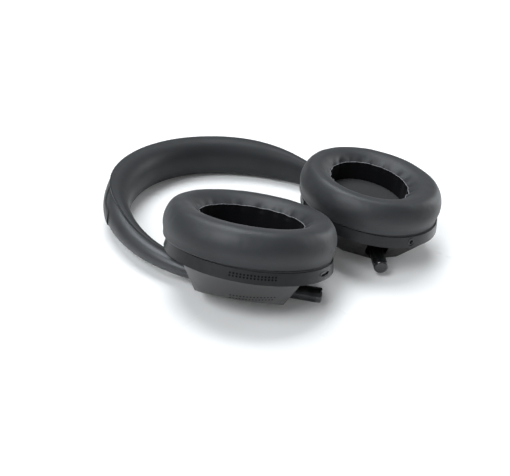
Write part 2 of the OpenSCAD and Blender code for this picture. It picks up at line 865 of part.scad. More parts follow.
// The baffle plate closes the rim, with a notch over the port and shallow pockets over the buttons
// and the microphone.
baffle_in = 17;
module baffle(side) {
  color([0.07, 0.07, 0.07])
    in_cup(side)
      difference() {
        cup_oval()
          translate([0, 0, baffle_w0])
            cylinder(r = rim_a - rim_flare - shell_wall - seat, h = baffle_t, $fn = ring_fn);
        translate([-cup_u, -cup_v, baffle_w0 - 1]) cylinder(r = baffle_in, h = baffle_t + 2);
        on_rim(port_angle)
          translate([-jack_depth - 2, -usb_w / 2 - port_room, -rim_h])
            cube([jack_depth + 4, usb_w + 2 * port_room, 2 * rim_h]);
        on_rim(mic_angle)
          translate([-shell_wall - mic_gap - mic_h - pocket_gap, 0, 0])
            rotate([0, 90, 0])
              cylinder(r = mic_r + pocket_gap, h = mic_h + 2 * pocket_gap);
        if (side < 0) {
          on_rim(power_angle) button_pocket();
          on_rim(assistant_angle) button_pocket();
        } else {
          on_rim(mode_angle) button_pocket();
        }
      }
}

module driver_frame(side) {
  color([0.2, 0.2, 0.21])
    in_cup(side)
      translate([-cup_u, -cup_v, baffle_w0 - driver_h])
        difference() {
          cylinder(r = driver_r, h = driver_h);
          translate([0, 0, driver_wall]) cylinder(r = driver_r - driver_wall, h = driver_h);
          translate([0, 0, -1]) cylinder(r = magnet_r / 3, h = driver_h);
        }
}

module magnet(side) {
  color([0.6, 0.6, 0.62])
    in_cup(side)
      translate([-cup_u, -cup_v, baffle_w0 - driver_h - magnet_h])
        cylinder(r = magnet_r, h = magnet_h);
}

// A shallow dome of thin film between the driver's walls.
module diaphragm(side) {
  r = driver_r - driver_wall - seat;
  ball = (r * r + dome_h * dome_h) / (2 * dome_h);
  color([0.75, 0.73, 0.66])
    in_cup(side)
      translate([-cup_u, -cup_v, baffle_w0 - driver_h + driver_wall + dome_h - ball])
        rotate_extrude($fn = ring_fn)
          intersection() {
            difference() {
              circle(r = ball, $fn = 360);
              circle(r = ball - dome_t, $fn = 360);
            }
            translate([0, ball - dome_h]) square([r, 2 * dome_h]);
          }
}

board_w0 = plate_w0 + plate_t + board_gap;
module circuit_board(side) {
  color([0.05, 0.2, 0.12])
    in_cup(side)
      difference() {
        intersection() {
          cup_oval()
            translate([0, 0, board_w0])
              cylinder(r = board_r, h = board_t, $fn = ring_fn);
          between_ends(shell_wall + end_room);
        }
        translate([-cup_u, -cup_v, board_w0 - 1]) cylinder(r = board_hole, h = board_t + 2);
        at_posts() translate([0, 0, board_w0 - 1]) cylinder(r = post_r + seat, h = board_t + 2);
      }
}

mic_gap = 1.2;
module microphone(side) {
  color([0.6, 0.55, 0.35])
    in_cup(side)
      on_rim(mic_angle)
        translate([-shell_wall - mic_gap - mic_h, 0, 0])
          rotate([0, 90, 0])
            cylinder(r = mic_r, h = mic_h);
}

// The main face's and the front facet's inner sides.
module on_main_face() {
  rotate([0, -face_lean, 0])
    rotate([-face_slope, 0, 0])
      translate([0, 0, face_wall - face_drop + seat])
        children();
}

module on_front_facet() {
  rotate([0, -face_lean, 0])
    rotate([front_slope, 0, 0])
      translate([0, 0, face_wall - front_drop + seat])
        children();
}

module battery_cell() {
  battery_out = 27.4;
  battery_back = 20.4;
  color([0.3, 0.32, 0.36])
    in_cup(right)
      on_main_face()
        translate([-battery_back, -battery_out, 0])
          cube([battery_l, battery_w, battery_t]);
}

module touch_sensor() {
  foil_v0 = 12.6;
  foil_depth = 8;
  color([0.6, 0.4, 0.2])
    in_cup(right)
      on_front_facet()
        translate([-foil_side / 2 - cup_u, foil_v0, 0])
          cube([foil_side, foil_depth, foil_t]);
}

// ---- Ear pad ----

seam_w0 = rim_w0 + rim_h;
pad_w0 = seam_w0 + seam_h;
rim_top_a = rim_a - rim_flare;
ring_inset = 0.7;
module pad_ring(side) {
  color([0.03, 0.03, 0.03])
    in_cup(side)
      cup_oval()
        translate([0, 0, seam_w0])
          difference() {
            cylinder(r = rim_top_a - ring_inset, h = seam_h, $fn = ring_fn);
            translate([0, 0, -1]) cylinder(r = driver_r, h = seam_h + 2);
          }
}

scrim_gap = 0.2;
scrim_t = 0.4;
module scrim(side) {
  color([0.05, 0.05, 0.055])
    in_cup(side)
      translate([-cup_u - pad_u, -cup_v - pad_v - hole_shift, pad_w0])
        scale([1, (hole_b - scrim_gap) / (hole_a - scrim_gap), 1])
          cylinder(r = hole_a - scrim_gap, h = scrim_t, $fn = ring_fn);
}

// The cushion is swept round the rim: an outer wall with a bulge, a rolled crest and a slope
// down to the gathered edge of the ear opening.
ring_steps = 4 * gathers;
crest = 0.42;
inner_base = 0.97;
outer_base = 0.02;
lip_low = 0.75;
wall_low = 0.12;
crest_round = 0.6;
wall_round = 0.8;
bow_reach = 0.9;
pad_gap = 0.3;
crest_j = 7;
slope_j = 11;
gather_j = 9;
section_n = slope_j + 4;
function pad_profile(j) =
  j <= crest_j ?
    let (g = 90 * j / crest_j)
      [crest * (1 - pow(cos(g), crest_round)), wall_low + (1 - wall_low) * pow(sin(g), wall_round)]
  : j <= slope_j ?
    let (x = (j - crest_j) / (slope_j - crest_j))
      [crest + (1 - crest) * x, 1 - roll_drop / pad_h * pow(x, 2)]
  : j == slope_j + 1 ? [1, (1 - roll_drop / pad_h) * lip_low]
  : j == slope_j + 2 ? [inner_base, 0]
  : [outer_base, 0];
function pad_bow(q) = pad_bulge * sin(180 * clip(q[1] * bow_reach)) * (1 - clip(q[0] / crest));
function pad_point(a, j) =
  let (q = pad_profile(j), e = pad_bow(q) - pad_gap, t = q[0], gathered = j > gather_j && j < slope_j + 2,
    pull = gathered ? gather_d * (1 - cos(gathers * a)) / 2 : 0,
    out = [(pad_a + e) * cos(a), (pad_a * cup_ratio + e) * sin(a)],
    hole = [(hole_a + pull) * cos(a), (hole_b + pull) * sin(a) - hole_shift])
    [out[0] * (1 - t) + hole[0] * t - cup_u - pad_u, out[1] * (1 - t) + hole[1] * t - cup_v - pad_v,
      pad_w0 + pad_h * q[1]];

module ear_cushion(side) {
  k = section_n;
  faces = [for (i = [0:ring_steps - 1], j = [0:k - 1], f = [0, 1])
    let (a = i * k + j, b = i * k + (j + 1) % k, i2 = (i + 1) % ring_steps,
      c = i2 * k + j, d = i2 * k + (j + 1) % k)
      f == 0 ? [a, b, d] : [a, d, c]];
  color([0.12, 0.12, 0.13])
    in_cup(side)
      polyhedron(
        points = [for (i = [0:ring_steps - 1], j = [0:k - 1]) pad_point(360 * i / ring_steps, j)],
        faces = faces);
}

steel_band();
crown_cushion();
crown_cover();
crown_carrier();
band_cable();
arm_liner(right);  // right_arm_liner
arm_liner(left);  // left_arm_liner
rod(right);  // right_rod
rod(left);  // left_rod
rod_cap(right);  // right_rod_cap
rod_cap(left);  // left_rod_cap
slider_sleeve(right);  // right_slider_sleeve
slider_sleeve(left);  // left_slider_sleeve
swivel_collar(right);  // right_swivel_collar
swivel_collar(left);  // left_swivel_collar
tilt_bracket(right);  // right_tilt_bracket
tilt_bracket(left);  // left_tilt_bracket
screws(right);  // right_screws
screws(left);  // left_screws
outer_shell(right);  // right_outer_shell
outer_shell(left);  // left_outer_shell
rim(right);  // right_rim
rim(left);  // left_rim
baffle(right);  // right_baffle
baffle(left);  // left_baffle
driver_frame(right);  // right_driver_frame
driver_frame(left);  // left_driver_frame
diaphragm(right);  // right_diaphragm
diaphragm(left);  // left_diaphragm
magnet(right);  // right_magnet
magnet(left);  // left_magnet
circuit_board(right);  // right_circuit_board
circuit_board(left);  // left_circuit_board
microphone(right);  // right_microphone
microphone(left);  // left_microphone
pad_ring(right);  // right_pad_ring
pad_ring(left);  // left_pad_ring
ear_cushion(right);  // right_ear_cushion
ear_cushion(left);  // left_ear_cushion
scrim(right);  // right_scrim
scrim(left);  // left_scrim
usb_receptacle();
usb_tongue();
jack_socket();
battery_cell();
touch_sensor();
status_light();
button(right, power_angle);  // power_button
button(right, assistant_angle);  // assistant_button
button(left, mode_angle);  // mode_button
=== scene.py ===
import math

import bmesh
import bpy
import numpy as np
from mathutils import Matrix, Vector, noise
from mathutils.kdtree import KDTree


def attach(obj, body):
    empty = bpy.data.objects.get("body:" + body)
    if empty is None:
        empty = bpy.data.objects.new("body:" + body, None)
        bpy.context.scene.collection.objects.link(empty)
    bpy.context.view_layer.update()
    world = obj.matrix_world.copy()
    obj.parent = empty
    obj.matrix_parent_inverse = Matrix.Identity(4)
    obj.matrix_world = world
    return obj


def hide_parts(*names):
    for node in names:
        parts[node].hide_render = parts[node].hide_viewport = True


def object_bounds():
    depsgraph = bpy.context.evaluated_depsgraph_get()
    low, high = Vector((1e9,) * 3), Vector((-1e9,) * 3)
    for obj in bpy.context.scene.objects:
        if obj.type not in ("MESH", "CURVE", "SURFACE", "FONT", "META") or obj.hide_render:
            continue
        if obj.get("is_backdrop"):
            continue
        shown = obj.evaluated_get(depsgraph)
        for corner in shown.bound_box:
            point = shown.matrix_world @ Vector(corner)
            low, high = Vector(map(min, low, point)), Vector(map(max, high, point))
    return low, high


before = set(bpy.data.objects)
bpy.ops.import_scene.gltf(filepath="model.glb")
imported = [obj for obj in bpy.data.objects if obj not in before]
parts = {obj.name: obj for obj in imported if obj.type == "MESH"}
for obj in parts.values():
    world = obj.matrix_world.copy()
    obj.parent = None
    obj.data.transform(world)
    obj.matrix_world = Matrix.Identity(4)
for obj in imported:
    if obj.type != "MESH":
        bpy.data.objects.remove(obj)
cad_low, cad_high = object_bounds()


# ---- Camera ----
# A short telephoto view from over the right ear cup, tipped a little to one side.
# The lens is fixed, with everything in focus.
eye_turn, eye_height, eye_roll = math.radians(-43.834), math.radians(29.143), math.radians(5.391)
eye_distance = 0.408335
aim = Vector((-0.006983, -0.011805, -0.000123))
lens_px, frame_px, sensor = 646.95, 510, 36
clip_near, clip_far = 0.01, 20

back = Vector((math.sin(eye_turn) * math.cos(eye_height), -math.cos(eye_turn) * math.cos(eye_height),
               math.sin(eye_height)))
across = Vector((0, 0, 1)).cross(back).normalized()
upward = back.cross(across)
rolled = (across * math.cos(eye_roll) + upward * math.sin(eye_roll),
          upward * math.cos(eye_roll) - across * math.sin(eye_roll))
camera = bpy.data.objects.new("camera", bpy.data.cameras.new("camera"))
bpy.context.scene.collection.objects.link(camera)
camera.matrix_world = Matrix.Translation(aim + back * eye_distance) @ Matrix(
    (rolled[0], rolled[1], back)).transposed().to_4x4()
camera.data.sensor_width = sensor
camera.data.lens = lens_px / frame_px * sensor
camera.data.clip_start, camera.data.clip_end = clip_near, clip_far
bpy.context.scene.camera = camera


# ---- Table and light ----
# A white, faintly glossy table top under three soft lamps and a pale sky.
# It shows plain white away from the headphones and keeps their shadow.
def new_material(name):
    material = bpy.data.materials.new(name)
    material.use_nodes = True
    material.node_tree.nodes.clear()
    return material, material.node_tree


def add(tree, kind, **settings):
    """A node with plain settings, and with sockets set by name or number."""
    made = tree.nodes.new(kind)
    sockets = settings.pop("sockets", {})
    for key, value in settings.items():
        setattr(made, key, value)
    for key, value in sockets.items():
        if isinstance(value, bpy.types.NodeSocket):
            tree.links.new(value, made.inputs[key])
        else:
            made.inputs[key].default_value = value
    return made


table_size = 3.0
corners = [(-table_size, -table_size, 0), (table_size, -table_size, 0), (table_size, table_size, 0),
           (-table_size, table_size, 0)]
table_mesh = bpy.data.meshes.new("table")
table_mesh.from_pydata([Vector(c) + Vector((0, 0, cad_low.z)) for c in corners], [], [(0, 1, 2, 3)])
table = bpy.data.objects.new("table", table_mesh)
bpy.context.scene.collection.objects.link(table)
table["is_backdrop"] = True

table_white, tree = new_material("table_white")
place = add(tree, "ShaderNodeTexCoord")
mottle = add(tree, "ShaderNodeTexNoise", sockets={
    "Vector": place.outputs["Object"], "Scale": 9.0, "Detail": 4.0})
rough = add(tree, "ShaderNodeMapRange", sockets={"Value": mottle.outputs["Fac"], 3: 0.22, 4: 0.34})
surface = add(tree, "ShaderNodeBsdfPrincipled", sockets={
    "Base Color": (0.93, 0.93, 0.93, 1), "Roughness": rough.outputs[0], "Specular IOR Level": 0.3})
rays = add(tree, "ShaderNodeLightPath")
seen = add(tree, "ShaderNodeMath", operation="MAXIMUM",
           sockets={0: rays.outputs["Is Camera Ray"], 1: rays.outputs["Is Transmission Ray"]})
away = add(tree, "ShaderNodeVectorMath", operation="LENGTH", sockets={0: place.outputs["Object"]})
haze = add(tree, "ShaderNodeMapRange", interpolation_type="SMOOTHSTEP", sockets={
    "Value": away.outputs["Value"], 1: 0.08, 2: 0.45, 3: 0.05, 4: 0.8})
lift = add(tree, "ShaderNodeMath", operation="MULTIPLY", sockets={0: seen.outputs[0], 1: haze.outputs[0]})
glow = add(tree, "ShaderNodeEmission", sockets={"Color": (1, 1, 1, 1), "Strength": lift.outputs[0]})
both = add(tree, "ShaderNodeAddShader", sockets={0: surface.outputs[0], 1: glow.outputs[0]})
add(tree, "ShaderNodeOutputMaterial", sockets={"Surface": both.outputs[0]})
table_mesh.materials.append(table_white)

sky = bpy.data.worlds.new("sky")
bpy.context.scene.world = sky
sky.use_nodes = True
sky_tree = sky.node_tree
sky_tree.nodes.clear()
sky_light = add(sky_tree, "ShaderNodeBackground", sockets={"Color": (0.96, 0.98, 1, 1), "Strength": 0.26})
sky_seen = add(sky_tree, "ShaderNodeBackground", sockets={"Color": (1, 1, 1, 1), "Strength": 1.0})
sky_rays = add(sky_tree, "ShaderNodeLightPath")
sky_mix = add(sky_tree, "ShaderNodeMixShader", sockets={
    0: sky_rays.outputs["Is Camera Ray"], 1: sky_light.outputs[0], 2: sky_seen.outputs[0]})
add(sky_tree, "ShaderNodeOutputWorld", sockets={"Surface": sky_mix.outputs[0]})

# name: where it hangs, its width, its power in watts
lamps = {"key": ((-2.2, -0.2, 2.2), 1.5, 60), "fill": ((1.7, -0.35, 0.5), 0.8, 9.5),
         "top": ((0.2, 0.9, 2.6), 1.7, 62)}
lamp_color = (0.94, 0.975, 1.0)
for name, (spot, width, power) in lamps.items():
    lamp = bpy.data.objects.new(name, bpy.data.lights.new(name, "AREA"))
    bpy.context.scene.collection.objects.link(lamp)
    lamp.location = spot
    lamp.rotation_euler = (-Vector(spot)).to_track_quat("-Z", "Y").to_euler()
    lamp.data.size = width
    lamp.data.energy = power
    lamp.data.color = lamp_color

bpy.context.scene.view_settings.view_transform = "Standard"


# ---- Steel band ----
# One strip of spring steel, flat over the head, whose edges curl round on each side until it is
# a tube. It is stamped and rolled, then given a dark satin finish.
mm = 0.001
crown_r, crown_angle, side_r, side_angle = 75.6, 24, 85.4, 106.8
sheet_t, flat_curl, closed_curl, curl_start, curl_length = 0.9, 14, 338, 45, 135
rod_r = 4.2
band_at = np.array([-2.24, 93.344, 14.6])
lie_tilt = math.radians(2.3)
lie = np.array([[1, 0, 0], [0, math.cos(lie_tilt), -math.sin(lie_tilt)],
                [0, math.sin(lie_tilt), math.cos(lie_tilt)]])
crown_len = crown_r * math.radians(crown_angle)
sheet_end = crown_len + side_r * math.radians(side_angle)
side_centre = (crown_r - side_r) * np.array([math.sin(math.radians(crown_angle)),
                                             math.cos(math.radians(crown_angle))]) - np.array([0, crown_r])
sheet_mid = rod_r - sheet_t / 2
sheet_width = sheet_mid * math.radians(closed_curl)


def arm_line(s):
    """The turn and the point of the arm's centre line at an arc length from the middle."""
    if s <= crown_len:
        a = s / crown_r
        return a, np.array([crown_r * math.sin(a), crown_r * math.cos(a) - crown_r])
    a = math.radians(crown_angle) + (min(s, sheet_end) - crown_len) / side_r
    past = max(0, s - sheet_end)
    return a, side_centre + side_r * np.array([math.sin(a), math.cos(a)]) + past * np.array(
        [math.cos(a), -math.sin(a)])


def band_point(s, n, z):
    """A point n outward and z up from the centre line, in the row frame, in metres."""
    a, p = arm_line(abs(s))
    side = -1 if s < 0 else 1
    return (band_at + lie @ np.array([side * (p[0] + n * math.sin(a)), p[1] + n * math.cos(a), z])) * mm


def curl(s):
    """The angle that the strip's width covers around the arm."""
    closing = min(1, max(0, (abs(s) - curl_start) / curl_length))
    return math.radians(flat_curl + (closed_curl - flat_curl) * closing)


def curl_r(s):
    """The radius of the curled strip's middle layer."""
    return sheet_width / curl(s)


def sheet_point(s, b, off):
    """A point at an angle round the curled strip, off outward from its middle layer."""
    r = curl_r(s)
    return band_point(s, sheet_mid - r + (r + off) * math.cos(b), (r + off) * math.sin(b))


def new_piece(name, points, faces, material, body):
    """A mesh piece on a body, with outward faces. Its flat caps have more than four corners."""
    mesh = bpy.data.meshes.new(name)
    mesh.from_pydata([tuple(p) for p in points], [], faces)
    shaped = bmesh.new()
    shaped.from_mesh(mesh)
    bmesh.ops.recalc_face_normals(shaped, faces=shaped.faces)
    shaped.to_mesh(mesh)
    shaped.free()
    for polygon in mesh.polygons:
        polygon.use_smooth = len(polygon.vertices) <= 4
    mesh.materials.append(material)
    piece = bpy.data.objects.new(name, mesh)
    bpy.context.scene.collection.objects.link(piece)
    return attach(piece, body)


def loft(rings, closed=False):
    """The points and faces of a solid through rings of points, capped unless it closes on itself."""
    count, width = len(rings), len(rings[0])
    faces = []
    for i in range(count if closed else count - 1):
        a, b = i * width, (i + 1) % count * width
        faces += [(a + j, a + (j + 1) % width, b + (j + 1) % width, b + j) for j in range(width)]
    if not closed:
        faces += [tuple(range(width)), tuple(range((count - 1) * width, count * width))]
    return [p for ring in rings for p in ring], faces


def new_group(name, inputs, outputs):
    """An effect with named sockets, each a name, a kind and, for an input, a first value."""
    group = bpy.data.node_groups.new(name, "ShaderNodeTree")
    for label, kind, value in inputs:
        made = group.interface.new_socket(label, in_out="INPUT", socket_type="NodeSocket" + kind)
        made.default_value = value
    for label, kind in outputs:
        group.interface.new_socket(label, in_out="OUTPUT", socket_type="NodeSocket" + kind)
    return group, add(group, "NodeGroupInput"), add(group, "NodeGroupOutput")


# Fine even grain with broad, faint patches of tone, as on blasted metal or moulded plastic.
grain, given, out = new_group("fine grain", [
    ("Grain", "Float", 2500.0), ("Patches", "Float", 40.0), ("Spread", "Float", 0.1)],
    [("Tone", "Float"), ("Height", "Float"), ("Patch", "Float")])
place = add(grain, "ShaderNodeTexCoord")
speck = add(grain, "ShaderNodeTexNoise", sockets={
    "Vector": place.outputs["Object"], "Scale": given.outputs["Grain"], "Detail": 3.0, "Roughness": 0.6})
patch = add(grain, "ShaderNodeTexNoise", sockets={
    "Vector": place.outputs["Object"], "Scale": given.outputs["Patches"], "Detail": 5.0, "Roughness": 0.55})
mixed = add(grain, "ShaderNodeMix", sockets={0: 0.65, 2: speck.outputs["Fac"], 3: patch.outputs["Fac"]})
centred = add(grain, "ShaderNodeMath", operation="SUBTRACT", sockets={0: mixed.outputs[0], 1: 0.5})
spread = add(grain, "ShaderNodeMath", operation="MULTIPLY", sockets={
    0: centred.outputs[0], 1: given.outputs["Spread"]})
tone = add(grain, "ShaderNodeMath", operation="ADD", sockets={0: spread.outputs[0], 1: 1.0})
grain.links.new(tone.outputs[0], out.inputs["Tone"])
grain.links.new(speck.outputs["Fac"], out.inputs["Height"])
grain.links.new(patch.outputs["Fac"], out.inputs["Patch"])

# Rubbed edges: where the surface bends sharply outward the finish is lighter.
wear, given, out = new_group("rubbed edges", [
    ("Edge", "Float", 0.5), ("From", "Float", 0.52), ("To", "Float", 0.6), ("Amount", "Float", 0.5),
    ("Color", "Color", (0.1, 0.1, 0.1, 1)), ("Rubbed", "Color", (0.3, 0.3, 0.3, 1))],
    [("Color", "Color"), ("Mask", "Float")])
place = add(wear, "ShaderNodeTexCoord")
broken = add(wear, "ShaderNodeTexNoise", sockets={
    "Vector": place.outputs["Object"], "Scale": 260.0, "Detail": 4.0})
sharp = add(wear, "ShaderNodeMapRange", sockets={
    "Value": given.outputs["Edge"], 1: given.outputs["From"], 2: given.outputs["To"]})
uneven = add(wear, "ShaderNodeMapRange", sockets={"Value": broken.outputs["Fac"], 1: 0.35, 2: 0.6})
patchy = add(wear, "ShaderNodeMath", operation="MULTIPLY", sockets={
    0: sharp.outputs[0], 1: uneven.outputs[0]})
masked = add(wear, "ShaderNodeMath", operation="MULTIPLY", sockets={
    0: patchy.outputs[0], 1: given.outputs["Amount"]})
rubbed = add(wear, "ShaderNodeMix", data_type="RGBA", sockets={
    0: masked.outputs[0], 6: given.outputs["Color"], 7: given.outputs["Rubbed"]})
wear.links.new(rubbed.outputs[2], out.inputs["Color"])
wear.links.new(masked.outputs[0], out.inputs["Mask"])


rub_gain, rough_dip, rough_rise = 1.8, 0.05, 0.06


def hard_finish(name, color, metallic, rough, grain_size=2500.0, patches=40.0, spread=0.3, bump=0.05,
                rubbed=None, amount=0.5, coat=0.0, specular=0.5):
    """A metal, paint or plastic with grain, patches of tone and rubbed edges."""
    material, tree = new_material(name)
    grained = add(tree, "ShaderNodeGroup", node_tree=grain, sockets={
        "Grain": grain_size, "Patches": patches, "Spread": spread})
    toned = add(tree, "ShaderNodeVectorMath", operation="SCALE", sockets={
        0: color, 3: grained.outputs["Tone"]})
    shape = add(tree, "ShaderNodeNewGeometry")
    worn = add(tree, "ShaderNodeGroup", node_tree=wear, sockets={
        "Edge": shape.outputs["Pointiness"], "Amount": amount, "Color": toned.outputs[0],
        "Rubbed": (*(rubbed or [c * rub_gain for c in color]), 1)})
    roughness = add(tree, "ShaderNodeMapRange", sockets={
        "Value": grained.outputs["Patch"], 1: 0.3, 2: 0.7, 3: rough - rough_dip, 4: rough + rough_rise})
    raised = add(tree, "ShaderNodeBump", sockets={
        "Strength": 1.0, "Distance": bump * mm, "Height": grained.outputs["Height"]})
    shader = add(tree, "ShaderNodeBsdfPrincipled", sockets={
        "Base Color": worn.outputs["Color"], "Metallic": metallic, "Roughness": roughness.outputs[0],
        "Normal": raised.outputs[0], "Coat Weight": coat, "Specular IOR Level": specular})
    add(tree, "ShaderNodeOutputMaterial", sockets={"Surface": shader.outputs[0]})
    return material


satin_steel = hard_finish("satin_steel", (0.072, 0.074, 0.078), 0.7, 0.44, grain_size=3200.0, spread=0.35,
                          bump=0.02, rubbed=(0.30, 0.30, 0.31), amount=0.3)
sheet_stations, sheet_steps, edge_turns = 130, 30, np.radians((45, 90, 135))
sheet_rings = []
for i in range(-sheet_stations, sheet_stations + 1):
    s = sheet_end * i / sheet_stations
    c, r = curl(s) / 2, curl_r(s)
    half = sheet_t / 2
    ring = [sheet_point(s, c * j / sheet_steps, half) for j in range(-sheet_steps, sheet_steps + 1)]
    ring += [sheet_point(s, c + half * math.sin(a) / r, half * math.cos(a)) for a in edge_turns]
    ring += [sheet_point(s, c * j / sheet_steps, -half) for j in range(sheet_steps, -sheet_steps - 1, -1)]
    ring += [sheet_point(s, -c - half * math.sin(a) / r, half * math.cos(a)) for a in edge_turns[::-1]]
    sheet_rings.append(ring)
band = new_piece("steel_band_satin", *loft(sheet_rings), satin_steel, "headband")
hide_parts("steel_band")


# ---- Crown padding ----
# A soft moulded foam pad with a smooth woven-backed skin. Its lips wrap the edges of the steel
# strip, and it thins to a flat tail that closes the inner side of each arm.
pad_depth, pad_over, lip_drop, pad_end, pocket_n = 17.4, 2.6, 0.6, 173, 2.6
pad_skin, pad_room, tail_t, tail_gap, tail_inset, tail_rise = 0.45, 0.35, 2.4, 0.8, 1.4, 0.5
sink_from, sink_over, wrap, part_from, part_over = 50, 60, 1.2, 130, 35
thin_from, narrow_from = 55, 85
outer_share, outer_round, inner_round = 0.31, 0.4, 0.87


def ease(x):
    """A soft step from 0 to 1."""
    c = min(1.0, max(0.0, x))
    return c * c * (3 - 2 * c)


def sheet_edge(s):
    """How far out the sheet's edge lies, and the greatest height of the sheet."""
    c, r = curl(s) / 2, curl_r(s)
    return sheet_mid - r + r * math.cos(c), r * math.sin(min(math.pi / 2, c)) + sheet_t / 2


def pad_shape(s):
    """The padding's floor, outer side, inner side, half height, and the sheet's half height."""
    edge, top = sheet_edge(s)
    floor = min(-pocket_n, edge - tail_gap)
    sunk, parted = ease((abs(s) - sink_from) / sink_over), ease((abs(s) - part_from) / part_over)
    thinned = ease((abs(s) - thin_from) / (pad_end - thin_from))
    narrowed = ease((abs(s) - narrow_from) / (pad_end - narrow_from))
    wrapped = (rod_r - lip_drop) * (1 - sunk) + (edge + wrap) * sunk
    outer = wrapped * (1 - parted) + (floor + tail_rise) * parted
    inner = (rod_r - lip_drop - pad_depth) * (1 - thinned) + (floor + tail_rise - tail_t) * thinned
    return floor, outer, inner, top + pad_over - (pad_over + tail_inset) * narrowed, top


def pad_at(shape, b):
    """How far out and up a point of the padding's skin lies, at an angle round its section."""
    floor, outer, inner, half, top = shape
    deep, out_side = outer - inner, math.cos(b) > 0
    m = outer_round if out_side else inner_round
    share = (outer_share if out_side else 1 - outer_share) * deep
    c, d = math.cos(b), math.sin(b)
    return (outer - outer_share * deep + share * math.copysign(abs(c) ** m, c),
            half * math.copysign(abs(d) ** m, d))


cloth_quality, cloth_stiffness, near_count, near_soft = 5, 12, 9, 0.4


def simulated(points, faces, voxel, shrink, pressure, frames, cap):
    """How far each point of a padded form moves when its cover is blown up as cloth."""
    mesh = bpy.data.meshes.new("sewn_form")
    mesh.from_pydata([tuple(p) for p in points], [], faces)
    form = bpy.data.objects.new("sewn_form", mesh)
    bpy.context.scene.collection.objects.link(form)
    bpy.context.view_layer.objects.active = form
    form.select_set(True)
    remesh = form.modifiers.new("even", "REMESH")
    remesh.mode, remesh.voxel_size = "VOXEL", voxel * mm
    bpy.ops.object.modifier_apply(modifier="even")
    form.data.update()
    before = np.array([v.co for v in form.data.vertices])
    normals = np.array([v.normal for v in form.data.vertices])
    for vertex, spot in zip(form.data.vertices, before - normals * shrink * mm):
        vertex.co = spot
    cloth = form.modifiers.new("cover", "CLOTH")
    cloth.settings.use_pressure = True
    cloth.settings.uniform_pressure_force = pressure
    cloth.settings.effector_weights.gravity = 0
    cloth.settings.quality = cloth_quality
    cloth.settings.tension_stiffness = cloth.settings.compression_stiffness = cloth_stiffness
    cloth.point_cache.frame_start, cloth.point_cache.frame_end = 1, frames
    for number in range(1, frames + 1):
        bpy.context.scene.frame_set(number)
    seen = form.evaluated_get(bpy.context.evaluated_depsgraph_get())
    moved = np.array([v.co for v in seen.data.vertices]) - before
    bpy.context.scene.frame_set(1)
    far = np.linalg.norm(moved, axis=1, keepdims=True)
    moved *= np.minimum(1, cap * mm / np.maximum(far, 1e-9))
    bpy.data.objects.remove(form)
    tree = KDTree(len(before))
    for index, spot in enumerate(before):
        tree.insert(spot, index)
    tree.balance()
    shift = np.zeros((len(points), 3))
    for index, spot in enumerate(points):
        near = tree.find_n(spot, near_count)
        weight = np.array([1 / (d + near_soft * voxel * mm) ** 2 for _, _, d in near])
        shift[index] = weight @ moved[[k for _, k, _ in near]] / weight.sum()
    return shift


# Soft skin: a fine pebble or nap, faint long creases and a change of tone over the swell.
soft_skin, given, out = new_group("soft skin", [
    ("Pebble", "Float", 1400.0), ("Creases", "Float", 120.0), ("Crease Depth", "Float", 0.5),
    ("Color", "Color", (0.06, 0.06, 0.065, 1)), ("Worn Color", "Color", (0.09, 0.09, 0.095, 1))],
    [("Color", "Color"), ("Roughness", "Float"), ("Height", "Float")])
place = add(soft_skin, "ShaderNodeTexCoord")
pebble = add(soft_skin, "ShaderNodeTexVoronoi", feature="SMOOTH_F1", sockets={
    "Vector": place.outputs["Object"], "Scale": given.outputs["Pebble"], "Smoothness": 0.6})
stretched = add(soft_skin, "ShaderNodeMapping", sockets={
    "Vector": place.outputs["Object"], "Scale": (1, 1, 0.45)})
crease = add(soft_skin, "ShaderNodeTexNoise", sockets={
    "Vector": stretched.outputs[0], "Scale": given.outputs["Creases"], "Detail": 6.0, "Roughness": 0.6,
    "Distortion": 0.8})
broad = add(soft_skin, "ShaderNodeTexNoise", sockets={
    "Vector": place.outputs["Object"], "Scale": 28.0, "Detail": 4.0, "Roughness": 0.5})
ridge = add(soft_skin, "ShaderNodeMapRange", sockets={"Value": crease.outputs["Fac"], 1: 0.42, 2: 0.5})
ridge = add(soft_skin, "ShaderNodeMath", operation="MULTIPLY", sockets={
    0: ridge.outputs[0], 1: given.outputs["Crease Depth"]})
height = add(soft_skin, "ShaderNodeMath", operation="ADD", sockets={
    0: ridge.outputs[0], 1: pebble.outputs["Distance"]})
fade = add(soft_skin, "ShaderNodeMapRange", sockets={"Value": broad.outputs["Fac"], 1: 0.35, 2: 0.68})
tint = add(soft_skin, "ShaderNodeMix", data_type="RGBA", sockets={
    0: fade.outputs[0], 6: given.outputs["Color"], 7: given.outputs["Worn Color"]})
soft_rough = add(soft_skin, "ShaderNodeMapRange", sockets={"Value": fade.outputs[0], 3: 0.56, 4: 0.47})
soft_skin.links.new(tint.outputs[2], out.inputs["Color"])
soft_skin.links.new(soft_rough.outputs[0], out.inputs["Roughness"])
soft_skin.links.new(height.outputs[0], out.inputs["Height"])


def soft_finish(name, color, worn, pebble, creases, crease_depth, bump, sheen, sheen_rough, specular):
    """A skin or cloth over foam, with a soft sheen."""
    material, tree = new_material(name)
    skin = add(tree, "ShaderNodeGroup", node_tree=soft_skin, sockets={
        "Pebble": pebble, "Creases": creases, "Crease Depth": crease_depth, "Color": (*color, 1),
        "Worn Color": (*worn, 1)})
    raised = add(tree, "ShaderNodeBump", sockets={
        "Strength": 0.7, "Distance": bump * mm, "Height": skin.outputs["Height"]})
    shader = add(tree, "ShaderNodeBsdfPrincipled", sockets={
        "Base Color": skin.outputs["Color"], "Roughness": skin.outputs["Roughness"],
        "Normal": raised.outputs[0], "Sheen Weight": sheen, "Sheen Roughness": sheen_rough,
        "Specular IOR Level": specular})
    add(tree, "ShaderNodeOutputMaterial", sockets={"Surface": shader.outputs[0]})
    return material


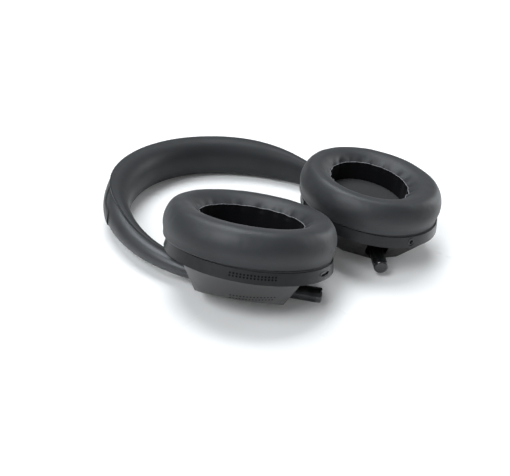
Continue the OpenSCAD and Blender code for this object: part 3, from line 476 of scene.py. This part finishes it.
band_skin = soft_finish("band_skin", (0.014, 0.0155, 0.0175), (0.020, 0.0215, 0.024), pebble=2600.0,
                        creases=90.0, crease_depth=0.2, bump=0.05, sheen=0.12, sheen_rough=0.4, specular=0.3)
pad_stations, pad_steps, pocket_steps = 110, 72, 8
lip, lip_turn = math.radians(60), 0.01
swell_share, swell_round, swell_from, swell_over, table_gap = 0.7, 0.7, 60, 80, 0.02
pad_rings = []
for i in range(-pad_stations, pad_stations + 1):
    s = pad_end * i / pad_stations
    shape = pad_shape(s)
    ring = []
    for j in range(pad_steps + 1):
        n, z = pad_at(shape, lip + (2 * math.pi - 2 * lip) * j / pad_steps)
        ring.append(band_point(s, n, z))
    lip_n, lip_z = pad_at(shape, lip)
    z = min(lip_z - pad_skin, shape[4] + pad_room)
    ring.append(band_point(s, lip_n - lip_turn, -z))
    ring += [band_point(s, shape[0], z * (2 * j / pocket_steps - 1)) for j in range(pocket_steps + 1)]
    ring.append(band_point(s, lip_n - lip_turn, z))
    pad_rings.append(ring)
pad_points, pad_faces = loft(pad_rings)
pad_points = np.array(pad_points)
swell = simulated(pad_points, pad_faces, voxel=5.0, shrink=0.8, pressure=4.0, frames=20, cap=1.6)
width = pad_steps + pocket_steps + 4
for i, point in enumerate(pad_points):
    station, j = divmod(i, width)
    along = abs(station / pad_stations - 1) * pad_end
    share = math.sin(math.pi * min(1, j / pad_steps)) ** swell_round if j <= pad_steps else 0
    fading = 1 - ease((along - swell_from) / swell_over)
    pad_points[i] = point + swell_share * swell[i] * share * fading
pad_points[:, 2] = np.maximum(pad_points[:, 2], cad_low.z + table_gap * mm)
padding = new_piece("crown_padding", pad_points, pad_faces, band_skin, "headband")
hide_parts("crown_cushion")


# ---- Crown cover ----
# A thin soft-touch cover bonded to the outside of the strip. It narrows on each side to a
# tongue with a round end, where the strip begins to curl.
cover_w, cover_t, cover_end, tongue_w = 21, 0.6, 104, 9
cover_lift, tongue_start, tongue_blend, tongue_least = 0.12, 72, 18, 0.15
cover_stations, cover_steps, cover_edge, cover_square = 90, 12, 0.35, 8
cover_skin = soft_finish("cover_skin", (0.017, 0.018, 0.020), (0.023, 0.0245, 0.027), pebble=3400.0,
                         creases=60.0, crease_depth=0.1, bump=0.03, sheen=0.15, sheen_rough=0.5,
                         specular=0.3)
cover_rings = []
for i in range(-cover_stations, cover_stations + 1):
    s = math.copysign(cover_end * math.sin(math.pi / 2 * abs(i) / cover_stations), i)
    e = ease((abs(s) - tongue_start) / tongue_blend)
    left_over = min(1, max(0, (cover_end - abs(s)) / (tongue_w / 2)))
    rounded = math.sqrt(left_over * (2 - left_over))
    half_width = max(tongue_least, (cover_w * (1 - e) + tongue_w * e) / 2 * rounded)
    c = math.asin(min(1, half_width / curl_r(s)))
    low = sheet_t / 2 + cover_lift
    ring = []
    for j in range(-cover_steps, cover_steps + 1):
        x = j / cover_steps
        thick = cover_edge + (1 - cover_edge) * (1 - x ** cover_square) ** 0.5
        ring.append(sheet_point(s, c * x, low + cover_t * thick))
    ring += [sheet_point(s, c * j / cover_steps, low) for j in range(cover_steps, -cover_steps - 1, -1)]
    cover_rings.append(ring)
cover = new_piece("crown_cover_skin", *loft(cover_rings), cover_skin, "headband")
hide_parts("crown_cover")


# ---- Arms ----
# Each arm ends in a straight round rod with a glossy moulded cap. A dark plastic liner closes
# the gap between the strip's edges, and a cable runs inside from cup to cup.
black_plastic = hard_finish("black_plastic", (0.022, 0.022, 0.024), 0.0, 0.5, grain_size=1800.0, bump=0.03)
gloss_black = hard_finish("gloss_black", (0.012, 0.012, 0.013), 0.0, 0.14, grain_size=900.0, patches=25.0,
                          bump=0.004, coat=0.5)
cable_jacket = hard_finish("cable_jacket", (0.02, 0.02, 0.02), 0.0, 0.6, grain_size=1500.0, bump=0.03)


def finish_nodes(material, *names):
    """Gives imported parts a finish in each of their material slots."""
    for name in names:
        mesh = parts[name].data
        for index in range(max(1, len(mesh.materials))):
            if mesh.materials:
                mesh.materials[index] = material
            else:
                mesh.materials.append(material)


rod_satin = hard_finish("rod_satin", (0.030, 0.031, 0.033), 0.7, 0.28, grain_size=3200.0, spread=0.2,
                        bump=0.01, rubbed=(0.12, 0.12, 0.12), amount=0.2)
finish_nodes(rod_satin, "right_rod", "left_rod")
finish_nodes(gloss_black, "right_rod_cap", "left_rod_cap")
finish_nodes(black_plastic, "right_arm_liner", "left_arm_liner", "crown_carrier")
finish_nodes(cable_jacket, "band_cable")


# ---- Slider, swivel and tilt ----
# A moulded sleeve slides on the rod, a steel collar turns on the sleeve, and the cup's bracket
# tilts on the collar's two pins. Four screws hold the bracket.
inner_steel = hard_finish("inner_steel", (0.5, 0.5, 0.51), 0.95, 0.32, grain_size=2200.0, spread=0.2,
                          bump=0.015)
dark_bracket = hard_finish("dark_bracket", (0.03, 0.03, 0.032), 0.3, 0.45, grain_size=1600.0, bump=0.03)
finish_nodes(black_plastic, "right_slider_sleeve", "left_slider_sleeve")
finish_nodes(dark_bracket, "right_swivel_collar", "left_swivel_collar", "right_tilt_bracket",
             "left_tilt_bracket")
finish_nodes(inner_steel, "right_screws", "left_screws")


# ---- Ear cup shells ----
# A tapered shell of painted metal with a mouth for the arm at one end and a slot for the rod at
# the other, closed by a moulded rim. Two rows of small holes in each let sound in.
swivel_from = 18.8
rest_swivel, rest_tilt = {"right": 13.1, "left": -2.3}, {"right": 0.7, "left": -1.5}
rim_a, cup_ratio, cup_u, cup_v = 45.9, 0.93, 6.4, 4.8
rim_w0, rim_h, rim_flare, shell_taper, lean_u, lean_v = 14.5, 6.1, 1.3, 0.9, 0.064, 0.08
turn_end = math.radians(crown_angle + side_angle)
swivel_line = arm_line(sheet_end + swivel_from)[1]


def turn_x(a):
    """A turn about the first axis."""
    return np.array([[1, 0, 0], [0, math.cos(a), -math.sin(a)], [0, math.sin(a), math.cos(a)]])


def turn_y(a):
    """A turn about the second axis."""
    return np.array([[math.cos(a), 0, math.sin(a)], [0, 1, 0], [-math.sin(a), 0, math.cos(a)]])


cups = {}
turned = np.array([[math.cos(turn_end), math.sin(turn_end), 0], [-math.sin(turn_end), math.cos(turn_end), 0],
                   [0, 0, 1]])
for side, sign in (("right", -1), ("left", 1)):
    mirror = np.diag([sign, 1.0, 1.0])
    swivelled, tilted = turn_x(math.radians(rest_swivel[side])), turn_y(math.radians(rest_tilt[side]))
    axes = lie @ mirror @ turned @ swivelled @ tilted
    cups[side] = (band_at + lie @ np.array([sign * swivel_line[0], swivel_line[1], 0]), axes)


def in_cup(side, points):
    """Points of a cup's own frame, in millimetres, as row points in metres."""
    origin, axes = cups[side]
    return (origin + np.asarray(points, float) @ axes.T) * mm


def wall_point(a, w):
    """A point of the cup's outer wall, at an angle from the arm's line and a height."""
    if w >= rim_w0:
        r, du, dv = rim_a - rim_flare * (w - rim_w0) / rim_h, 0, 0
    else:
        r, du, dv = rim_a - shell_taper * (rim_w0 - w), lean_u * (w - rim_w0), -lean_v * (w - rim_w0)
    return np.array([r * math.cos(a) - cup_u + du, r * cup_ratio * math.sin(a) - cup_v + dv, w])


satin_shell = hard_finish("satin_shell", (0.062, 0.061, 0.061), 0.65, 0.36, grain_size=2800.0, patches=30.0,
                          spread=0.35, bump=0.02, rubbed=(0.16, 0.157, 0.155), amount=0.3)
rim_plastic = hard_finish("rim_plastic", (0.015, 0.016, 0.0175), 0.2, 0.38, grain_size=2400.0, spread=0.15,
                          bump=0.02, amount=0.25)
# Each hole is drawn as a flat disc in this near-black finish: painted shade standing for the hole's depth.
painted_hole_shade = hard_finish("painted_hole_shade", (0.004, 0.004, 0.004), 0.0, 0.8, grain_size=1500.0, spread=0.1,
                        specular=0.1)
finish_nodes(satin_shell, "right_outer_shell", "left_outer_shell")
finish_nodes(rim_plastic, "right_rim", "left_rim")
finish_nodes(black_plastic, "right_baffle", "left_baffle", "right_pad_ring", "left_pad_ring")

# the part they are in, first and last angle, height at the first and the last, rise of the second row
hole_rows = {"rim_hole_shade": ("rim", 95.9, 67.4, 17.0, 17.4, 1.3),
             "shell_hole_shade": ("outer_shell", 94.5, 60.5, 1.9, 3.6, 2.0)}
hole_count, hole_r, hole_sides, hole_out, hole_dish, hole_reach = 14, 0.5, 12, 0.05, 0.4, 12


def hole_points(side, wall, a, w):
    """The rim of one hole and then its middle, laid on a part's outer face from outside the cup."""
    reach = hole_reach * np.array([math.cos(a), math.sin(a), 0])
    to_wall = wall.matrix_world.inverted()
    here, there = (to_wall @ Vector(in_cup(side, wall_point(a, w) + way * reach)) for way in (1, -1))
    _, spot, normal, _ = wall.ray_cast(here, (there - here).normalized())
    centre, outward = wall.matrix_world @ spot, (wall.matrix_world.to_3x3() @ normal).normalized()
    along = outward.cross(Vector(cups[side][1][:, 2])).normalized()
    up = outward.cross(along)
    turns = [2 * math.pi * k / hole_sides for k in range(hole_sides)]
    return [centre + (hole_out * outward + hole_r * (math.cos(t) * along + math.sin(t) * up)) * mm
            for t in turns] + [centre + hole_dish * hole_out * outward * mm]


# The holes are flat discs just outside each part's face, painted near black as the shade inside a hole.
for side in cups:
    for label, (part, first, last, w_first, w_last, rise) in hole_rows.items():
        points, faces = [], []
        for row in (0, 1):
            for i in range(hole_count):
                x = i / (hole_count - 1)
                a = math.radians(first + (last - first) * x)
                w = w_first + (w_last - w_first) * x + rise * row
                start = len(points)
                points += hole_points(side, parts[f"{side}_{part}"], a, w)
                faces += [(start + k, start + (k + 1) % hole_sides, start + hole_sides)
                          for k in range(hole_sides)]
        holes = new_piece(f"{side}_{label}", points, faces, painted_hole_shade, f"{side}_cup")


# ---- Inside the cups ----
# A loudspeaker with its frame, magnet and film, a circuit board and a microphone in each cup, and
# in the right cup a wrapped battery and a touch sensor behind the outer face.
film = hard_finish("film", (0.55, 0.53, 0.46), 0.0, 0.2, grain_size=800.0, bump=0.01)
board = hard_finish("board", (0.02, 0.10, 0.055), 0.0, 0.4, grain_size=600.0, patches=180.0, spread=0.5)
gold_brass = hard_finish("gold_brass", (0.65, 0.47, 0.22), 0.9, 0.3, bump=0.01)
foil_wrap = hard_finish("foil_wrap", (0.16, 0.18, 0.22), 0.4, 0.35, grain_size=700.0, bump=0.02)
finish_nodes(black_plastic, "right_driver_frame", "left_driver_frame")
finish_nodes(inner_steel, "right_magnet", "left_magnet")
finish_nodes(film, "right_diaphragm", "left_diaphragm")
finish_nodes(board, "right_circuit_board", "left_circuit_board")
finish_nodes(gold_brass, "right_microphone", "left_microphone", "touch_sensor")
finish_nodes(foil_wrap, "battery_cell")


# ---- Ports, buttons and light ----
# A folded steel charging port with its tongue in the right cup's rim, a 2.5 mm audio socket in
# the left one's, moulded buttons and a frosted status light.
clear_light = hard_finish("clear_light", (0.72, 0.72, 0.70), 0.0, 0.3, grain_size=900.0, bump=0.01)
port_steel = hard_finish("port_steel", (0.10, 0.10, 0.105), 0.9, 0.35, grain_size=2200.0, spread=0.2,
                         bump=0.01)
finish_nodes(port_steel, "usb_receptacle")
finish_nodes(black_plastic, "usb_tongue", "jack_socket")
finish_nodes(rim_plastic, "power_button", "assistant_button", "mode_button")
finish_nodes(clear_light, "status_light")


# ---- Ear cushions ----
# Foam rings in soft black leather, drawn over a rounded crest and gathered where the outer
# skin is sewn to the lining at the ear opening. The lining is matt.
seam_h, pad_a, pad_u, pad_v, pad_h, pad_bulge = 0.6, 45.6, 1.6, 1.6, 18.2, 1.7
hole_a, hole_b, hole_shift = 28.2, 23.6, 1.8
roll_drop, gathers, crest, inner_base = 5.8, 19, 0.42, 0.97
wall_low, crest_round, wall_round, bow_reach, pad_gap = 0.12, 0.6, 0.8, 0.9, 0.3
gather_pull, gather_drop, gather_at, roll_reach, lining_reach, lining_pull = 1.15, 0.8, 2.05, 0.26, 0.22, 0.6
broad_folds, fine_folds, fold_wander, fold_least, fold_spread, fine_seed = 1.7, 5.5, 1.1, 0.6, 0.8, 3
cushion_w0, base_inset, base_step = rim_w0 + rim_h + seam_h, 0.999, 0.6
pad_leather = soft_finish("pad_leather", (0.017, 0.0185, 0.021), (0.025, 0.027, 0.030), pebble=1500.0,
                          creases=150.0, crease_depth=0.3, bump=0.05, sheen=0.10, sheen_rough=0.35,
                          specular=0.5)
lining = soft_finish("lining", (0.004, 0.004, 0.005), (0.006, 0.006, 0.007), pebble=2200.0, creases=200.0,
                     crease_depth=0.5, bump=0.08, sheen=0.02, sheen_rough=0.5, specular=0.1)
thread = soft_finish("thread", (0.24, 0.245, 0.26), (0.34, 0.345, 0.36), pebble=5000.0, creases=900.0,
                     crease_depth=0.2, bump=0.03, sheen=0.2, sheen_rough=0.4, specular=0.3)
wall_steps, roll_steps, lining_steps, round_steps = 26, 22, 14, 304
section = [0] + [part + i / count for part, count in enumerate((wall_steps, roll_steps, lining_steps))
                 for i in range(1, count + 1)]


def cushion_profile(t):
    """Share of the way in, and share of the height, along the cushion's section."""
    if t <= 1:
        g = math.pi / 2 * t
        c, d = max(0.0, math.cos(g)), math.sin(g)
        return crest * (1 - c ** crest_round), wall_low + (1 - wall_low) * d ** wall_round
    if t <= 2:
        x = t - 1
        return crest + (1 - crest) * x, 1 - roll_drop / pad_h * x * x
    x = t - 2
    low = 1 - roll_drop / pad_h
    return 1 + (inner_base - 1) * x * x, low * (1 - x)


def ring_noise(a, turns, drift):
    """Smooth noise round the opening, the same again where the round closes."""
    return noise.noise(Vector((math.cos(a) * turns, math.sin(a) * turns, drift)))


def folds(a, seed):
    """Uneven gathers around the opening, from about 0 to 1."""
    broad, fine = ring_noise(a, broad_folds, seed), ring_noise(a, fine_folds, seed + fine_seed)
    return 0.5 * (1 - math.cos(gathers * a + fold_wander * broad)) * (fold_least + fold_spread * fine)


def cushion_point(a, t, seed):
    """A point of the cushion: t is 0 to 1 on the outer wall, to 2 on the roll, to 3 on the lining."""
    q, h = cushion_profile(t)
    bulging = math.sin(math.pi * min(1, max(0, h * bow_reach))) * (1 - min(1, max(0, q / crest)))
    bow = pad_bulge * bulging - pad_gap
    near_seam = math.exp(-((t - gather_at) / (roll_reach if t < gather_at else lining_reach)) ** 2)
    gathered = near_seam if t < gather_at else max(near_seam, lining_pull * (3 - t))
    pull = gather_pull * folds(a, seed) * gathered
    outer = np.array([(pad_a + bow) * math.cos(a), (pad_a * cup_ratio + bow) * math.sin(a)])
    opening = np.array([(hole_a + pull) * math.cos(a), (hole_b + pull) * math.sin(a) - hole_shift])
    u, v = outer * (1 - q) + opening * q
    w = cushion_w0 + pad_h * h - gather_drop * near_seam * folds(a, seed)
    return np.array([u - cup_u - pad_u, v - cup_v - pad_v, w])


def cushion_form(seed):
    """The cushion's rings, its outer base first, then wall, crest, roll and lining."""
    rings = []
    for i in range(round_steps):
        a = 2 * math.pi * i / round_steps
        low = cushion_point(a, 0, seed)
        base = np.array([*(low[:2] * base_inset), cushion_w0])
        under = np.array([*low[:2], cushion_w0 + base_step])
        rings.append([base, under] + [cushion_point(a, t, seed) for t in section])
    return rings


swell, blown_share, blown_from, blown_over = None, 0.5, 0.05, 0.35
wave_size, wave_turns, wave_drift, ripple_size, ripple_turns, ripple_drift = 0.22, 4, 2.2, 0.07, 17, 5
lift_size, roll_lean, form_seed, wave_seed, ripple_seed = 0.16, 0.2, 7.3, 5, 9
welt_t, welt_r, welt_sides, welt_lean, welt_rise, stitches, stitch_dip = 2.0, 0.2, 8, 0.6, 0.3, 62, 0.2
for number, side in enumerate(cups):
    seed = number * form_seed
    points, faces = loft(cushion_form(seed), closed=True)
    points = np.array(points)
    if swell is None:
        swell = simulated(points * mm, faces, voxel=4.0, shrink=0.6, pressure=4.0, frames=20, cap=1.4) / mm
    width = 2 + len(section)
    for i in range(len(points)):
        t = section[i % width - 2] if i % width > 1 else 0
        a = 2 * math.pi * (i // width) / round_steps
        share = ease((t - blown_from) / blown_over) * ease((welt_t - t) / blown_over) if t > 0 else 0
        if swell is not None:
            points[i] += blown_share * swell[i] * share
        wave = ring_noise(a, wave_turns, t * wave_drift + number * wave_seed)
        ripple = ring_noise(a, ripple_turns, t * ripple_drift + number * ripple_seed)
        outward = np.array([math.cos(a), math.sin(a), 0.0]) * (1 if t < 1 else roll_lean)
        lifted = np.array([0, 0, lift_size * wave * ease(t)])
        points[i] += share * ((wave_size * wave + ripple_size * ripple) * outward + lifted)
    cushion = new_piece(f"{side}_cushion_skin", in_cup(side, points), faces, pad_leather, f"{side}_cup")
    cushion.data.materials.append(lining)
    first_lining = 2 + wall_steps + roll_steps
    for polygon in cushion.data.polygons:
        js = [v % width for v in polygon.vertices]
        if min(js) >= first_lining or (max(js) == width - 1 and min(js) == 0):
            polygon.material_index = 1
    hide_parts(f"{side}_ear_cushion")

    # One fine sewn welt runs round the edge of the opening and dips with the gathers.
    rings = []
    for k in range(round_steps):
        a = 2 * math.pi * k / round_steps
        spot = cushion_point(a, welt_t, seed)
        ahead = cushion_point(a + 0.01, welt_t, seed) - spot
        ahead /= np.linalg.norm(ahead)
        up = np.array([-welt_lean * math.cos(a), -welt_lean * math.sin(a), 1])
        up -= up @ ahead * ahead
        up /= np.linalg.norm(up)
        cross = np.cross(ahead, up)
        thick = welt_r * (1 - stitch_dip + stitch_dip * math.cos(stitches * a))
        rings.append([spot + (welt_rise * welt_r + thick * math.sin(g)) * up + thick * math.cos(g) * cross
                      for g in np.linspace(0, 2 * math.pi, welt_sides, endpoint=False)])
    points, faces = loft(rings, closed=True)
    stitching = new_piece(f"{side}_stitching", in_cup(side, points), faces, thread, f"{side}_cup")


# ---- Loudspeaker cloth ----
# A fine black knitted mesh, stretched over the loudspeaker at the bottom of the ear opening.
knit, given, out = new_group("knit", [("Threads", "Float", 1100.0)], [("Height", "Float"), ("Gap", "Float")])
place = add(knit, "ShaderNodeTexCoord")
warp = add(knit, "ShaderNodeTexWave", wave_type="BANDS", bands_direction="X", sockets={
    "Vector": place.outputs["Object"], "Scale": given.outputs["Threads"], "Distortion": 0.4})
weft = add(knit, "ShaderNodeTexWave", wave_type="BANDS", bands_direction="Y", sockets={
    "Vector": place.outputs["Object"], "Scale": given.outputs["Threads"], "Distortion": 0.4})
over = add(knit, "ShaderNodeMath", operation="MAXIMUM", sockets={
    0: warp.outputs["Fac"], 1: weft.outputs["Fac"]})
gap = add(knit, "ShaderNodeMapRange", sockets={"Value": over.outputs[0], 1: 0.2, 2: 0.6, 3: 1.0, 4: 0.0})
knit.links.new(over.outputs[0], out.inputs["Height"])
knit.links.new(gap.outputs[0], out.inputs["Gap"])

mesh_cloth, tree = new_material("mesh_cloth")
knitted = add(tree, "ShaderNodeGroup", node_tree=knit, sockets={"Threads": 330.0})
shade = add(tree, "ShaderNodeMix", data_type="RGBA", sockets={
    0: knitted.outputs["Gap"], 6: (0.022, 0.022, 0.024, 1), 7: (0.004, 0.004, 0.004, 1)})
raised = add(tree, "ShaderNodeBump", sockets={
    "Strength": 0.8, "Distance": 0.0001, "Height": knitted.outputs["Height"]})
shader = add(tree, "ShaderNodeBsdfPrincipled", sockets={
    "Base Color": shade.outputs[2], "Roughness": 0.7, "Normal": raised.outputs[0], "Sheen Weight": 0.15,
    "Specular IOR Level": 0.2})
add(tree, "ShaderNodeOutputMaterial", sockets={"Surface": shader.outputs[0]})
finish_nodes(mesh_cloth, "right_scrim", "left_scrim")


# ---- Size ----
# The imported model's box and the dressed model's box.
low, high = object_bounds()
